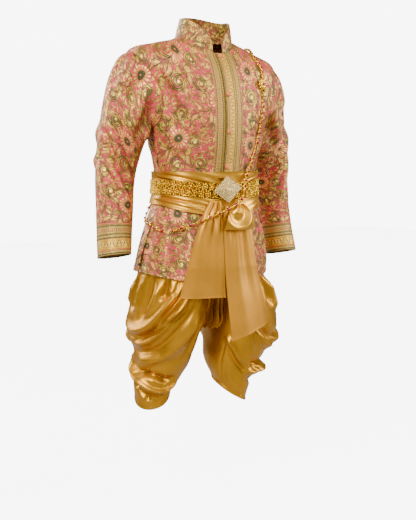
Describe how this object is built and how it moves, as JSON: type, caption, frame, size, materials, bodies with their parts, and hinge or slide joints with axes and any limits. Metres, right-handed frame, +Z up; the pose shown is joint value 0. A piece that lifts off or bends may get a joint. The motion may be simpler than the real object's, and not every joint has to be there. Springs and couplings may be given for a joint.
{
  "type": "chut thai dress",
  "caption": "Thai court costume in worn form: stand-collar floral brocade jacket, draped knee-length satin chong kraben, tied sash with tails, gold belt, jewelled chain and brooch.",
  "frame": {"origin": "middle of the jacket's neck seam, where the costume is held on the shoulders", "axes": "+Z up, the wearer faces -Y, +X towards the wearer's left"},
  "size_m": [0.688, 0.367, 1.172],
  "materials": {
    "brocade": "floral silk brocade, pink ground with gold and green figures, gold woven borders",
    "satin": "gold satin",
    "gold": "gilt filigree",
    "pave": "pale stepped plate set with small clear stones",
    "ruby": "polished red stone",
    "covered_button": "cloth-covered dome"
  },
  "bodies": {
    "root": {"jacket_front_left": "brocade", "jacket_front_right": "brocade", "jacket_back": "brocade", "sleeve_left": "brocade", "sleeve_right": "brocade", "collar": "brocade", "button_1": "covered_button", "button_2": "covered_button", "button_3": "covered_button", "button_4": "covered_button", "chong_kraben_leg_right": "satin", "chong_kraben_leg_left": "satin", "chong_kraben_front_swag": "satin", "chong_kraben_back_tail": "satin", "sash_wrap_upper": "satin", "sash_wrap_lower": "satin", "sash_tail_right": "satin", "sash_tail_left": "satin", "sash_loop_left": "satin", "belt_band": "gold", "belt_buckle": "pave", "chain_shoulder": "gold", "chain_hip": "gold", "chain_back": "gold", "brooch": "gold", "brooch_stone": "ruby"}
  },
  "joints": []
}
